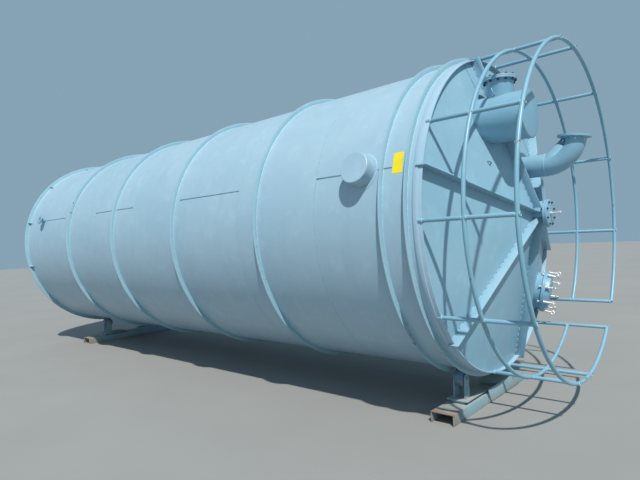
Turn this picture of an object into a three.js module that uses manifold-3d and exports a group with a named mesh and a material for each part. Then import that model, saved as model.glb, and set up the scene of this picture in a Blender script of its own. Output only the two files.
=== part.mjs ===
// Bulk storage silo lying on its roller stands.
// Millimetres, +Z up. The silo's axis runs along X with the roof end at +X and the base end at -X.
// Inner coordinates put X = 0 at the roof end of the shell and Y = Z = 0 on the silo's axis.
// The outer group moves them so that the origin is under the middle of the whole object, on the floor.
import * as THREE from 'three';
import { mergeVertices } from 'three/addons/utils/BufferGeometryUtils.js';
import Module from 'manifold-3d';

const wasm = await Module();
wasm.setup();

// Whole object
const AXIS_HEIGHT = 1840;
const SHIFT_X = 3579.12;
const SHIFT_Y = 10.8;
const GAP = 0.3;
const ROUND = 80;

// Shell and skirt
const SHELL_R = 1500;
const WALL = 8;
const SEAMS = [0, -2110, -4330, -6530, -8059.7];
const BASE_X = -8076;
const BASE_RING = { inner: 1400, outer: 1560, thick: 16 };
const GUSSET = { count: 12, first: 15.5, reach: 48, long: 90, thick: 10 };

// Stiffening rings
const RING_X = [-6284, -4812, -3306, -1802, -291, -54];
const RING_OUTER = 1550;
const RING_THICK = 10;

// Lip round the roof end of the shell: a band with a thicker half next to the shell
const RIM_RING = { inner: 1492, thin: 1502, outer: 1510, step: 38, end: 75 };

// Roof cone: X = CONE_APEX - CONE_SLOPE * radius on its outer face
const CONE_APEX = 430;
const CONE_SLOPE = 0.265;
const CONE_THICK = 8;
const CONE_HOLE_R = 50;

// Radial ribs: front edge at X = front - slope * radius, outer end hooked over the lip
const RIB = { front: 503, slope: 0.255, thick: 12, inner: 62, outer: 1522, toe: 20 };
const RIB_ANGLES = [15, 75, 135, -165, -105, -45];

// Discharge cone inside the skirt
const HOPPER = { x: -6590, outletX: -7900, outletR: 150, thick: 8 };
const OUTLET_FLANGE = { r: 220, thick: 16, bolts: 8, pcr: 192, hole: 9 };

// Centre nozzle on the roof
const APEX = { r: 57, bore: 50, endX: 540, flangeR: 128, flange: 18, cover: 18 };
const SPINDLE = { r: 9, long: 96, nutR: 17, nut: 16 };

// Vent drum on the roof and the branch on its upper side
const DRUM = { y: -452, z: 846, r: 208, wall: 8, endX: 570, hole: 188 };
const BRANCH = { x: 317, r: 115, bore: 107, top: 1205, flangeR: 146, flange: 15, cover: 15 };

// Fill pipe: straight stub, bend and open flange facing up
const FILL = { y: 49, z: 450, r: 103.5, bore: 95.5, seamX: 529, bend: 248, turn: 83 };
const FILL_FLANGE = { r: 141, thick: 19, pcr: 122, bolts: 8, hole: 9 };

// Manhole low on the far side of the roof, square to the cone
const MANHOLE = { angle: -138, ring: 1215, r: 198, bore: 190, flangeR: 228, flangeAt: 69, flange: 16 };
const LID = { thick: 18, r: 190, raised: 59 };
const SWING_BOLT = { count: 8, ring: 212, slot: 11 };

// Guard rail round the roof
const RAIL = { r: 17, ring: 1495, mid: 410, top: 788, steps: 56, sides: 10 };
const POST_ANGLES = [30, -1.5, -32.9, -80, -95.4, -127.8, -140.8, -172.7, 156.3, 125.3, 94.2, 76.2];
const GATE = [-140.8, -127.8];

// Nozzles on the shell
const STUB = { x: -505, angle: 15.6, r: 136.5, wall: 8, reach: 125, padR: 160, pad: 6 };
const SIDE_NOZZLE = { x: -7390, angle: 15.8, r: 38, bore: 32, reach: 92, flangeR: 78, flange: 14 };
const LABEL = { x0: -200, x1: -108, a0: 13.6, a1: 20.4, thick: 1.6 };

// Roller stands
const STAND_X = [-180, -7300];
const ROLLER = { angle: 16.7, r: 80, wide: 84, axleR: 15, axle: 136, clear: 0.5 };
const BRACKET = { wide: 88, thick: 12, gap: 6, hole: 16, x: 210, y0: -560, y1: -160, top: -1700, plate: 12 };
const BEAM = { x: 225, y: 860, top: -1737, bottom: -1840, thick: 9 };
const PACKER = { x: 60, y: 20 };
const FACE_PLATE = { y0: -110, y1: 700, top: -1696, bottom: -1831, thick: 8 };

// Colours
const paint = (color, roughness = 0.5) => new THREE.MeshStandardMaterial({ color, roughness, metalness: 0.1 });
const BLUE = paint(0x86b0c4);
const BLUE_DUSTY = paint(0x8fa3a8, 0.8);
const YELLOW = paint(0xe8cf1c);
const STEEL_BLUE = paint(0x6f9fbb, 0.45);

const silo = new THREE.Group();
silo.position.set(SHIFT_X, SHIFT_Y, AXIS_HEIGHT);

const rad = (degrees) => (degrees * Math.PI) / 180;

// Geometry helpers

function bare(geometry) {
  const copy = geometry.clone();
  for (const name of Object.keys(copy.attributes)) {
    if (name !== 'position') {
      copy.deleteAttribute(name);
    }
  }
  return mergeVertices(copy, 1e-4);
}

function signedVolume(geometry) {
  const p = geometry.attributes.position;
  const index = geometry.index;
  const a = new THREE.Vector3();
  const b = new THREE.Vector3();
  const c = new THREE.Vector3();
  let sum = 0;
  for (let i = 0; i < index.count; i += 3) {
    a.fromBufferAttribute(p, index.getX(i));
    b.fromBufferAttribute(p, index.getX(i + 1));
    c.fromBufferAttribute(p, index.getX(i + 2));
    sum += a.dot(b.cross(c));
  }
  return sum;
}

function outward(geometry) {
  const merged = bare(geometry);
  const kept = [];
  const index = merged.index;
  const flip = signedVolume(merged) < 0;
  for (let i = 0; i < index.count; i += 3) {
    const a = index.getX(i);
    const b = index.getX(i + 1);
    const c = index.getX(i + 2);
    if (a !== b && b !== c && c !== a) {
      kept.push(a, flip ? c : b, flip ? b : c);
    }
  }
  merged.setIndex(kept);
  return merged;
}

function solid(geometry) {
  const g = outward(geometry);
  const vertProperties = new Float32Array(g.attributes.position.array);
  const triVerts = new Uint32Array(g.index.array);
  return new wasm.Manifold(new wasm.Mesh({ numProp: 3, vertProperties, triVerts }));
}

function geometryOf(manifold) {
  const m = manifold.getMesh();
  const g = new THREE.BufferGeometry();
  g.setAttribute('position', new THREE.BufferAttribute(new Float32Array(m.vertProperties), 3));
  g.setIndex(new THREE.BufferAttribute(new Uint32Array(m.triVerts), 1));
  return g;
}

function cut(base, ...tools) {
  let result = base;
  for (const tool of tools) {
    result = result.subtract(tool);
  }
  return result;
}

function join(parts) {
  let result = parts[0];
  for (const part of parts.slice(1)) {
    result = result.add(part);
  }
  return result;
}

function add(name, shape, material) {
  let geometry = shape.isBufferGeometry ? outward(shape) : geometryOf(shape);
  geometry = geometry.toNonIndexed();
  geometry.computeVertexNormals();
  const mesh = new THREE.Mesh(geometry, material);
  mesh.name = name;
  silo.add(mesh);
  return mesh;
}

// A closed profile of [radius, x] pairs turned about the X axis
function turned(profile, segments = ROUND) {
  const loop = profile.map(([r, x]) => new THREE.Vector2(r, x));
  if (profile[0][0] > 0 || profile[profile.length - 1][0] > 0) {
    loop.push(loop[0].clone());
  }
  const g = new THREE.LatheGeometry(loop, segments);
  g.rotateZ(-Math.PI / 2);
  return g;
}

function tube(inner, outer, x0, x1, segments = ROUND) {
  return turned([[inner, x0], [outer, x0], [outer, x1], [inner, x1]], segments);
}

function rod(r, x0, x1, segments = 24) {
  return turned([[0, x0], [r, x0], [r, x1], [0, x1]], segments);
}

// Turns a piece that was made along +X so that it points outwards at an angle round the silo
function radial(geometry, angle, x) {
  const g = geometry.clone();
  g.rotateZ(Math.PI / 2);
  g.rotateX(Math.PI - rad(angle));
  g.translate(x, 0, 0);
  return g;
}

function moved(geometry, x, y, z) {
  return geometry.clone().translate(x, y, z);
}

function box(x0, x1, y0, y1, z0, z1) {
  const g = new THREE.BoxGeometry(x1 - x0, y1 - y0, z1 - z0);
  return g.translate((x0 + x1) / 2, (y0 + y1) / 2, (z0 + z1) / 2);
}

// Turns a flat piece from the near side (-Y) to an angle round the silo
function round(geometry, angle) {
  return geometry.clone().rotateX(-rad(angle));
}

function coneX(r) {
  return CONE_APEX - CONE_SLOPE * r;
}

// Cutting solids shared by many pieces
const underCone = solid(turned([
  [0, coneX(0) + GAP], [1700, coneX(1700) + GAP], [1700, -1500], [0, -1500],
]));
const insideShell = (extra) => solid(rod(SHELL_R + extra, -9000, 300, ROUND));

// Shell courses and skirt
function addShell() {
  const openings = [
    solid(radial(rod(STUB.r - STUB.wall, 1400, 1600), STUB.angle, STUB.x)),
    solid(radial(rod(SIDE_NOZZLE.bore, 1400, 1600), SIDE_NOZZLE.angle, SIDE_NOZZLE.x)),
  ];
  for (let i = 0; i + 1 < SEAMS.length; i += 1) {
    const x1 = SEAMS[i] - (i === 0 ? 0 : GAP / 2);
    const x0 = SEAMS[i + 1] + GAP / 2;
    let course = solid(tube(SHELL_R - WALL, SHELL_R, x0, x1));
    if (i === 0) {
      course = cut(course, openings[0]);
    }
    if (i === 3) {
      course = cut(course, openings[1]);
    }
    add(i === 3 ? 'skirt' : `shell_course_${i + 1}`, course, BLUE);
  }
}

function addBase() {
  const x1 = BASE_X + BASE_RING.thick;
  const pieces = [solid(tube(BASE_RING.inner, BASE_RING.outer, BASE_X, x1))];
  for (let i = 0; i < GUSSET.count; i += 1) {
    const outline = new THREE.Shape();
    const low = SHELL_R + GAP;
    const start = x1 - 2;
    outline.moveTo(start, -low);
    outline.lineTo(start + GUSSET.long, -low);
    outline.lineTo(start + GUSSET.long, -low - 12);
    outline.lineTo(start + 14, -low - GUSSET.reach);
    outline.lineTo(start, -low - GUSSET.reach);
    const g = new THREE.ExtrudeGeometry(outline, { depth: GUSSET.thick, bevelEnabled: false });
    g.translate(0, 0, -GUSSET.thick / 2);
    pieces.push(solid(round(g, GUSSET.first + (i * 360) / GUSSET.count)));
  }
  add('base_ring', join(pieces), BLUE);
}

function addRings() {
  RING_X.forEach((x, i) => {
    const ring = tube(SHELL_R + GAP, RING_OUTER, x - RING_THICK / 2, x + RING_THICK / 2);
    add(`stiffening_ring_${i + 1}`, ring, BLUE);
  });
  add('rim_ring', turned([
    [RIM_RING.inner, GAP], [RIM_RING.outer, GAP], [RIM_RING.outer, RIM_RING.step],
    [RIM_RING.thin, RIM_RING.step], [RIM_RING.thin, RIM_RING.end], [RIM_RING.inner, RIM_RING.end],
  ]), BLUE);
}

function roofOpenings() {
  return [
    solid(moved(rod(DRUM.hole, -400, 900, 32), 0, DRUM.y, DRUM.z)),
    solid(moved(rod(FILL.bore, -400, 900), 0, FILL.y, FILL.z)),
    solid(onRoof(rod(MANHOLE.bore, -100, 100, 40))),
  ];
}

function addRoof() {
  const r1 = SHELL_R - WALL - GAP;
  const cone = solid(turned([
    [CONE_HOLE_R, coneX(CONE_HOLE_R)],
    [r1, coneX(r1)],
    [r1, coneX(r1) - CONE_THICK],
    [CONE_HOLE_R, coneX(CONE_HOLE_R) - CONE_THICK],
  ]));
  add('roof_cone', cut(cone, ...roofOpenings()), BLUE);
}

function ribX(r) {
  return RIB.front - RIB.slope * r;
}

function ribSolid(angle) {
  const edge = RIM_RING.inner * Math.cos(Math.PI / ROUND) - GAP;
  const s = new THREE.Shape();
  s.moveTo(coneX(RIB.inner) + GAP, -RIB.inner);
  s.lineTo(ribX(RIB.inner), -RIB.inner);
  s.lineTo(ribX(RIB.outer), -RIB.outer);
  s.lineTo(RIB.toe, -RIB.outer);
  s.lineTo(RIB.toe, -RIM_RING.outer - GAP);
  s.lineTo(RIM_RING.step + GAP, -RIM_RING.outer - GAP);
  s.lineTo(RIM_RING.step + GAP, -RIM_RING.thin - GAP);
  s.lineTo(RIM_RING.end + GAP, -RIM_RING.thin - GAP);
  s.lineTo(RIM_RING.end + GAP, -edge);
  s.lineTo(coneX(edge) + GAP, -edge);
  const g = new THREE.ExtrudeGeometry(s, { depth: RIB.thick, bevelEnabled: false });
  g.translate(0, 0, -RIB.thick / 2);
  return round(g, angle);
}

function addRibs() {
  RIB_ANGLES.forEach((angle, i) => add(`roof_rib_${i + 1}`, ribSolid(angle), BLUE));
}

// Turns a piece made along +X so that it stands along +Z
function vertical(geometry, x, y) {
  return geometry.clone().rotateY(-Math.PI / 2).translate(x, y, 0);
}

function boltCircle(count, ring, r, x0, x1, offset = 0.5, segments = 12) {
  const out = [];
  for (let i = 0; i < count; i += 1) {
    const a = ((i + offset) * 2 * Math.PI) / count;
    out.push(moved(rod(r, x0, x1, segments), 0, ring * Math.cos(a), ring * Math.sin(a)));
  }
  return out;
}

function addHopper() {
  const r1 = SHELL_R - WALL - GAP;
  const run = (r1 - HOPPER.outletR) / (HOPPER.x - HOPPER.outletX);
  const across = HOPPER.thick / Math.sin(Math.atan(run));
  const cone = turned([
    [r1, HOPPER.x], [r1, HOPPER.x + across], [HOPPER.outletR, HOPPER.outletX + across], [HOPPER.outletR, HOPPER.outletX],
  ]);
  add('discharge_cone', cone, BLUE);
  const x1 = HOPPER.outletX - GAP;
  const x0 = x1 - 70;
  const neck = turned([
    [HOPPER.outletR, x1], [HOPPER.outletR + 8, x1], [HOPPER.outletR + 8, x0 + OUTLET_FLANGE.thick],
    [OUTLET_FLANGE.r, x0 + OUTLET_FLANGE.thick], [OUTLET_FLANGE.r, x0], [HOPPER.outletR, x0],
  ], 40);
  const holes = boltCircle(OUTLET_FLANGE.bolts, OUTLET_FLANGE.pcr, OUTLET_FLANGE.hole, x0 - 5, x0 + 30);
  add('outlet_flange', cut(solid(neck), ...holes.map(solid)), BLUE);
}

function addApexNozzle() {
  const x1 = APEX.endX;
  const faceX = x1 - APEX.flange;
  const neck = solid(turned([
    [APEX.bore, coneX(APEX.bore) + GAP], [APEX.r, coneX(APEX.r) + GAP], [APEX.r, faceX],
    [APEX.flangeR, faceX], [APEX.flangeR, x1], [APEX.bore, x1],
  ], 32));
  add('centre_nozzle', neck, BLUE);
  const coverX = x1 + GAP;
  const base = coverX + APEX.cover - 1;
  const cover = join([
    solid(rod(APEX.flangeR, coverX, coverX + APEX.cover, 32)),
    solid(rod(SPINDLE.r, base, base + SPINDLE.long, 16)),
    solid(rod(SPINDLE.nutR, base, base + SPINDLE.nut, 6)),
    solid(rod(SPINDLE.nutR, base + SPINDLE.long - 24, base + SPINDLE.long - 8, 6)),
  ]);
  add('centre_nozzle_cover', cover, BLUE);
}

function addDrum() {
  const x0 = -120;
  const body = solid(moved(turned([
    [0, DRUM.endX - DRUM.wall], [DRUM.r - DRUM.wall, DRUM.endX - DRUM.wall], [DRUM.r - DRUM.wall, x0],
    [DRUM.r, x0], [DRUM.r, DRUM.endX], [0, DRUM.endX],
  ], 48), 0, DRUM.y, DRUM.z));
  const bore = solid(vertical(rod(BRANCH.bore, DRUM.z, 1400), BRANCH.x, DRUM.y));
  add('vent_drum', cut(body, underCone, bore), BLUE);
  const faceZ = BRANCH.top - BRANCH.cover - GAP;
  const lowZ = faceZ - BRANCH.flange;
  const neck = turned([
    [BRANCH.bore, DRUM.z], [BRANCH.r, DRUM.z], [BRANCH.r, lowZ], [BRANCH.flangeR, lowZ],
    [BRANCH.flangeR, faceZ], [BRANCH.bore, faceZ],
  ], 32);
  const drumBlock = solid(moved(rod(DRUM.r + GAP, -400, 900, 48), 0, DRUM.y, DRUM.z));
  add('drum_branch', cut(solid(vertical(neck, BRANCH.x, DRUM.y)), drumBlock), BLUE);
  const cover = solid(vertical(rod(BRANCH.flangeR, faceZ + GAP, BRANCH.top, 32), BRANCH.x, DRUM.y));
  add('branch_cover', cover, BLUE);
}

class Bend extends THREE.Curve {
  getPoint(t) {
    const a = t * rad(FILL.turn);
    return new THREE.Vector3(FILL.bend * Math.sin(a), 0, FILL.bend * (1 - Math.cos(a)));
  }
}

// Turns a piece made along +X to the end of the bend
function atBendEnd(geometry) {
  const end = new Bend().getPoint(1);
  return geometry.clone().rotateY(-rad(FILL.turn)).translate(FILL.seamX + GAP + end.x, FILL.y, FILL.z + end.z);
}

function addFillPipe() {
  const stub = solid(moved(tube(FILL.bore, FILL.r, 0, FILL.seamX, 32), 0, FILL.y, FILL.z));
  add('fill_pipe', cut(stub, underCone), BLUE);
  const ring = new THREE.Shape();
  ring.absarc(0, 0, FILL.r, 0, 2 * Math.PI);
  const hole = new THREE.Path();
  hole.absarc(0, 0, FILL.bore, 0, 2 * Math.PI);
  ring.holes.push(hole);
  const bend = new THREE.ExtrudeGeometry(ring, { steps: 10, curveSegments: 12, extrudePath: new Bend() });
  bend.translate(FILL.seamX + GAP, FILL.y, FILL.z);
  add('fill_bend', bend, BLUE);
  const x0 = GAP;
  const flange = solid(atBendEnd(tube(FILL.bore, FILL_FLANGE.r, x0, x0 + FILL_FLANGE.thick, 40)));
  const holes = boltCircle(FILL_FLANGE.bolts, FILL_FLANGE.pcr, FILL_FLANGE.hole, x0 - 5, x0 + 40);
  add('fill_flange', cut(flange, ...holes.map((g) => solid(atBendEnd(g)))), BLUE);
}

// Puts a piece made along +X on the manhole's place, square to the cone
function onRoof(geometry) {
  const g = geometry.clone().rotateZ(-Math.atan(CONE_SLOPE));
  return round(g.translate(coneX(MANHOLE.ring), -MANHOLE.ring, 0), MANHOLE.angle);
}

function slots(x0, x1) {
  const out = [];
  for (let i = 0; i < SWING_BOLT.count; i += 1) {
    const a = ((i + 0.5) * 360) / SWING_BOLT.count;
    const slot = box(x0, x1, SWING_BOLT.ring - SWING_BOLT.slot, 260, -SWING_BOLT.slot, SWING_BOLT.slot);
    out.push(solid(onRoof(slot.rotateX(rad(a)))));
  }
  return out;
}

function addManhole() {
  const low = MANHOLE.flangeAt;
  const face = low + MANHOLE.flange;
  const neck = solid(onRoof(turned([
    [MANHOLE.bore, -80], [MANHOLE.r, -80], [MANHOLE.r, low], [MANHOLE.flangeR, low],
    [MANHOLE.flangeR, face], [MANHOLE.bore, face],
  ], 40)));
  add('manhole_neck', cut(neck, underCone, ...slots(low - 5, face + 5)), BLUE);
  const seat = face + GAP;
  const cover = solid(onRoof(turned([
    [0, seat], [MANHOLE.flangeR, seat], [MANHOLE.flangeR, seat + LID.thick],
    [LID.r, seat + LID.thick], [LID.r, seat + LID.raised], [0, seat + LID.raised],
  ], 40)));
  add('manhole_cover', cut(cover, ...slots(seat - 5, seat + LID.thick + 5)), BLUE);
}

// Arc of pipe round the silo at one X, from one angle up to another
class Hoop extends THREE.Curve {
  constructor(x, from, to) {
    super();
    this.x = x;
    this.from = from;
    this.to = to;
  }

  getPoint(t) {
    const a = rad(this.from + t * (this.to - this.from));
    return new THREE.Vector3(this.x, -RAIL.ring * Math.cos(a), RAIL.ring * Math.sin(a));
  }
}

function hoop(x) {
  const section = new THREE.Shape();
  section.absarc(0, 0, RAIL.r, 0, 2 * Math.PI);
  const path = new Hoop(x, GATE[1], GATE[0] + 360);
  const options = { steps: RAIL.steps, curveSegments: RAIL.sides / 2, extrudePath: path };
  return solid(new THREE.ExtrudeGeometry(section, options));
}

function post(angle, r, x0, x1) {
  const g = moved(rod(r, x0, x1, RAIL.sides), 0, -RAIL.ring, 0);
  return solid(round(g, angle));
}

// The posts stand on the end of the lip, and their outer side laps over it
function addGuardRail() {
  const lip = solid(rod(RIM_RING.thin + GAP, 0, RIM_RING.end + GAP, ROUND));
  const posts = POST_ANGLES.map((a) => post(a, RAIL.r, RIM_RING.step + GAP, RAIL.top));
  add('guard_rail', cut(join([hoop(RAIL.top), hoop(RAIL.mid), ...posts]), lip), STEEL_BLUE);
}

function addShellNozzles() {
  const shellBlock = insideShell(GAP);
  const end = SHELL_R + STUB.reach;
  const stub = solid(radial(turned([
    [0, end - STUB.wall], [STUB.r - STUB.wall, end - STUB.wall], [STUB.r - STUB.wall, 1400],
    [STUB.r, 1400], [STUB.r, end], [0, end],
  ], 32), STUB.angle, STUB.x));
  add('shell_nozzle', cut(stub, shellBlock), BLUE);
  const pad = solid(radial(tube(STUB.r + GAP, STUB.padR, 1300, 1700, 32), STUB.angle, STUB.x));
  const skin = cut(solid(rod(SHELL_R + STUB.pad, -900, -100, ROUND)), shellBlock);
  const half = solid(box(-900, -100, -1700, 0, -1700, 1700));
  add('nozzle_pad', pad.intersect(skin).intersect(half), BLUE);
  const far = SHELL_R + SIDE_NOZZLE.reach;
  const side = solid(radial(turned([
    [SIDE_NOZZLE.bore, 1400], [SIDE_NOZZLE.r, 1400], [SIDE_NOZZLE.r, far - SIDE_NOZZLE.flange],
    [SIDE_NOZZLE.flangeR, far - SIDE_NOZZLE.flange], [SIDE_NOZZLE.flangeR, far], [SIDE_NOZZLE.bore, far],
  ], 24), SIDE_NOZZLE.angle, SIDE_NOZZLE.x));
  add('skirt_nozzle', cut(side, shellBlock), BLUE);
}

function addLabel() {
  const outline = new THREE.Shape();
  const r0 = SHELL_R + GAP;
  const r1 = r0 + LABEL.thick;
  outline.absarc(0, 0, r1, rad(180 - LABEL.a1), rad(180 - LABEL.a0), false);
  outline.absarc(0, 0, r0, rad(180 - LABEL.a0), rad(180 - LABEL.a1), true);
  const g = new THREE.ExtrudeGeometry(outline, { depth: LABEL.x1 - LABEL.x0, bevelEnabled: false, curveSegments: 4 });
  g.rotateY(Math.PI / 2).rotateX(Math.PI / 2);
  g.translate(LABEL.x0, 0, 0);
  add('label_plate', g, YELLOW);
}

function rollerPlace(side) {
  const d = SHELL_R + ROLLER.clear + ROLLER.r;
  return { y: side * d * Math.sin(rad(ROLLER.angle)), z: -d * Math.cos(rad(ROLLER.angle)) };
}

function bracket(x, side) {
  const at = rollerPlace(side);
  const low = BEAM.top + GAP;
  const outline = new THREE.Shape();
  const half = BRACKET.wide / 2;
  outline.moveTo(-half, BRACKET.top - 1 - at.z);
  outline.lineTo(half, BRACKET.top - 1 - at.z);
  outline.lineTo(half, 0);
  outline.absarc(0, 0, half, 0, Math.PI, false);
  const hole = new THREE.Path();
  hole.absarc(0, 0, BRACKET.hole, 0, 2 * Math.PI);
  outline.holes.push(hole);
  const plate = new THREE.ExtrudeGeometry(outline, { depth: BRACKET.thick, bevelEnabled: false, curveSegments: 12 });
  plate.rotateX(Math.PI / 2).rotateZ(Math.PI / 2);
  const inner = ROLLER.wide / 2 + BRACKET.gap;
  const y0 = side < 0 ? BRACKET.y0 : -BRACKET.y1;
  const y1 = side < 0 ? BRACKET.y1 : -BRACKET.y0;
  return join([
    solid(moved(plate, x + inner, at.y, at.z)),
    solid(moved(plate, x - inner - BRACKET.thick, at.y, at.z)),
    solid(box(x - BRACKET.x / 2, x + BRACKET.x / 2, y0, y1, BRACKET.top - BRACKET.plate, BRACKET.top)),
    solid(box(x - PACKER.x, x + PACKER.x, y0 + PACKER.y, y1 - PACKER.y, low, BRACKET.top - BRACKET.plate + 1)),
  ]);
}

function roller(x, side) {
  const at = rollerPlace(side);
  const half = ROLLER.wide / 2;
  const axle = ROLLER.axle / 2;
  return solid(moved(turned([
    [0, -axle], [ROLLER.axleR, -axle], [ROLLER.axleR, -half], [ROLLER.r, -half],
    [ROLLER.r, half], [ROLLER.axleR, half], [ROLLER.axleR, axle], [0, axle],
  ], 32), x, at.y, at.z));
}

function crossBeam(x) {
  const x0 = x - BEAM.x / 2;
  const x1 = x + BEAM.x / 2;
  const web = BEAM.top - BEAM.thick;
  return join([
    solid(box(x0, x1, -BEAM.y, BEAM.y, web, BEAM.top)),
    solid(box(x0, x0 + BEAM.thick, -BEAM.y, BEAM.y, BEAM.bottom, BEAM.top)),
    solid(box(x1 - BEAM.thick, x1, -BEAM.y, BEAM.y, BEAM.bottom, BEAM.top)),
    solid(box(x1 - 1, x1 + FACE_PLATE.thick, FACE_PLATE.y0, FACE_PLATE.y1, FACE_PLATE.bottom, FACE_PLATE.top)),
  ]);
}

function addStand(x, name) {
  add(`${name}_stand_beam`, crossBeam(x), BLUE_DUSTY);
  add(`${name}_bracket_near`, bracket(x, -1), BLUE);
  add(`${name}_bracket_far`, bracket(x, 1), BLUE);
  add(`${name}_roller_near`, roller(x, -1), STEEL_BLUE);
  add(`${name}_roller_far`, roller(x, 1), STEEL_BLUE);
}

addShell();
addBase();
addRings();
addRoof();
addRibs();
addHopper();
addApexNozzle();
addDrum();
addFillPipe();
addManhole();
addGuardRail();
addShellNozzles();
addLabel();
addStand(STAND_X[0], 'roof');
addStand(STAND_X[1], 'base');

const part = new THREE.Group();
part.add(silo);

export default part;
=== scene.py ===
import math
import bmesh
import bpy
from mathutils import Matrix, Vector, noise


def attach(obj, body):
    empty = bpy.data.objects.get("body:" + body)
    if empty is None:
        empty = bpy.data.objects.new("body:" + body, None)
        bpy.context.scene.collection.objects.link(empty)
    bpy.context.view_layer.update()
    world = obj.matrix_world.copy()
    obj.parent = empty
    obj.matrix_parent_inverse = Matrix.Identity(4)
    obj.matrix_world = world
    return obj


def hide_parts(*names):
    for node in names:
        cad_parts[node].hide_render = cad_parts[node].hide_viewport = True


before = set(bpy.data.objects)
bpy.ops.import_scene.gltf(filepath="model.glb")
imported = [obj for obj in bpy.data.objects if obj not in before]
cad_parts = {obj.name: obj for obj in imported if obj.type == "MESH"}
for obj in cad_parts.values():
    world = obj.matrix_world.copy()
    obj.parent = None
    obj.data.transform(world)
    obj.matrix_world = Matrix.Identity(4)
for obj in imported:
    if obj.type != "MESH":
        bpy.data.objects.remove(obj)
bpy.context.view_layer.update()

# Metres. Pieces are shaped with X along the silo's axis, the shell's roof end at X = 0 and the axis at
# Y = Z = 0. ORIGIN takes them to their place on the part.
ORIGIN = Vector((3.57912, 0.0108, 1.840))
ROUND = 240
CREASE = 32
# Clear space between neighbouring pieces
GAP = 0.0003
SLIP = 0.0004
# How far edges are rounded
EDGE = 0.0015
FINE_EDGE = 0.0012
# Takes a piece made along +X so that it stands along +Z
UPRIGHT = Matrix.Rotation(-math.pi / 2, 4, "Y")

# Shell. A course and a long weld are given by their two ends, and angles are degrees up from the near side.
SHELL_R = 1.500
WALL = 0.008
INSIDE_R = SHELL_R - WALL - GAP
COURSES = (("shell_course_1", -2.110, 0.0), ("shell_course_2", -4.330, -2.110),
           ("shell_course_3", -6.530, -4.330), ("skirt", -8.0597, -6.530))
GIRTH_WELDS = (-1.020, -2.110, -3.210, -4.330, -5.430, -6.530, -7.630)
SEAM_NEAR = 15.7
SEAM_FAR = 128
LONG_WELDS = ((-0.285, -0.205, SEAM_NEAR), (-0.345, -0.297, SEAM_NEAR), (-1.020, -0.712, SEAM_NEAR),
              (-2.110, -1.020, SEAM_FAR), (-3.210, -2.110, SEAM_NEAR), (-4.330, -3.210, SEAM_FAR),
              (-5.430, -4.330, SEAM_NEAR), (-6.530, -5.430, SEAM_FAR), (-7.630, -6.530, SEAM_NEAR),
              (-8.058, -7.630, SEAM_FAR))
PULL_DEPTH = 0.0016
PULL_WIDTH = 0.045
DENT_DEPTH = 0.0014
SHELL_STEP = 0.055
BEAD_WIDE = 0.007
BEAD_HIGH = 0.0022
SEAM_WIDE = 0.006
SEAM_HIGH = 0.0024
FILLET = 0.006
BASE_X = -8.076
BASE_THICK = 0.016
BASE_RADII = (1.400, 1.560)
GUSSETS = 12
GUSSET_START = 15.5
GUSSET_LONG = 0.088
GUSSET_HIGH = 0.048
GUSSET_TOE = 0.012
GUSSET_TOP = 0.014
GUSSET_THICK = 0.010
RING_X = (-6.284, -4.812, -3.306, -1.802, -0.291, -0.054)
RING_OUTER = 1.550
RING_HALF = 0.005

# Lip round the roof end of the shell
LIP_INNER = 1.492
LIP_THIN = 1.502
LIP_OUTER = 1.510
LIP_STEP = 0.038
LIP_END = 0.075

# Discharge cone and outlet
HOPPER_X = (-6.590, -7.900)
HOPPER_ACROSS = 0.0113
OUTLET_R = 0.150
OUTLET_LONG = 0.070
OUTLET_RIM = 0.220
OUTLET_FLANGE = 0.016
OUTLET_PITCH = 0.192
# A flange's stud: how far it starts below the flange, its length and its radius
OUTLET_STUD = (0.016, 0.046, 0.008)

# Roof cone and its ribs. Places on the cone are an angle and a radius.
CONE_APEX = 0.430
CONE_SLOPE = 0.265
CONE_DENT = 0.004
RIB_ANGLES = (15, 75, 135, -165, -105, -45)
RIB_THICK = 0.012
RIB_FRONT = 0.503
RIB_SLOPE = 0.255
RIB_SPAN = (0.062, 1.522)
RIB_TOE = 0.020
WELD_RUNS = 23
WELD_RUN_START = 0.090
WELD_RUN_STEP = 0.0615
WELD_RUN = ((-0.003, 0.007), (-0.025, 0.025), (-0.006, 0.006))
ROOF_SEAM_AT = (68.3, 1.312)
ROOF_SEAM = ((-0.004, 0.002), (-0.176, 0.176), (-0.0035, 0.0035))
CLEAT_AT = (38.5, 0.735)
CLEAT_BEND = 0.020
CLEAT_ROD = 0.005

# Centre nozzle, with the spindle's nuts as place, size and height
APEX_R = 0.057
APEX_BORE = 0.050
APEX_RIM = 0.128
APEX_PITCH = 0.106
APEX_STUD = (0.016, 0.066, 0.006)
APEX_END = 0.540
APEX_FLANGE = 0.018
SPINDLE_END = 0.654
SPINDLE_R = 0.009
SPINDLE_NUTS = ((0.5585, 0.017, 0.016), (0.630, 0.018, 0.017))

# Vent drum, its branch and the branch's grip
DRUM = Vector((0, -0.452, 0.846))
DRUM_R = 0.208
DRUM_START = 0.090
DRUM_END = 0.570
BRANCH_X = 0.317
BRANCH_R = 0.115
BRANCH_RIM = 0.146
BRANCH_PITCH = 0.131
BRANCH_STUD = (0.018, 0.062, 0.0065)
BRANCH_TOP = 1.205
BRANCH_FLANGE = 0.015
BRANCH_ROOT = 0.168
GRIP_X = -0.015
GRIP_HEIGHT = 1.075
GRIP_LEAN = -108
GRIP_BEND = 0.034
GRIP_ROD = 0.006

# Fill pipe
FILL = Vector((0.529, 0.049, 0.450))
FILL_R = 0.1035
FILL_START = 0.24
FILL_RIM = 0.141
FILL_FLANGE = 0.019
FILL_PITCH = 0.122
FILL_HOLE = 0.009
FILL_BEND = 0.248
FILL_TURN = 83

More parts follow.
